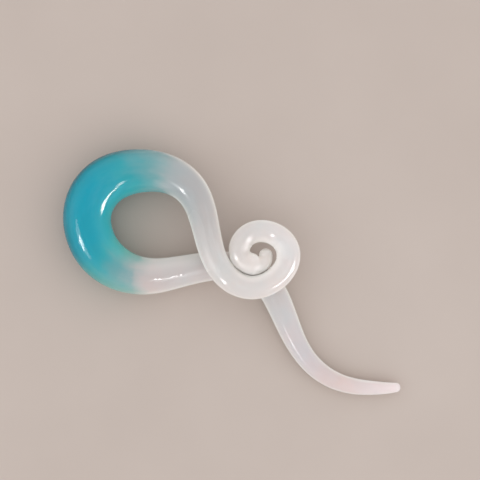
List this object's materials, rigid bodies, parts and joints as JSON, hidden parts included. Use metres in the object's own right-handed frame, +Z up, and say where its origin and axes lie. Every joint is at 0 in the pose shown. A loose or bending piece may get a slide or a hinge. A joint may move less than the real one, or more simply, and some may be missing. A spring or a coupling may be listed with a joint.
{
  "type": "spiral ear taper",
  "caption": "Solid glass taper for a stretched ear lobe: a rod bent through a thick loop and wound into a small scroll that lies over its own tapering tail.",
  "frame": {"origin": "middle of the outer box in plan, on the surface that the taper lies on", "axes": "+X from the thick loop to the tip of the tail, +Y towards the side that the scroll lies on, +Z up from the surface"},
  "size_m": [0.0952, 0.0362, 0.0137],
  "materials": {
    "opal_glass": "gloss"
  },
  "bodies": {
    "root": {"spiral_taper": "opal_glass"}
  },
  "joints": []
}
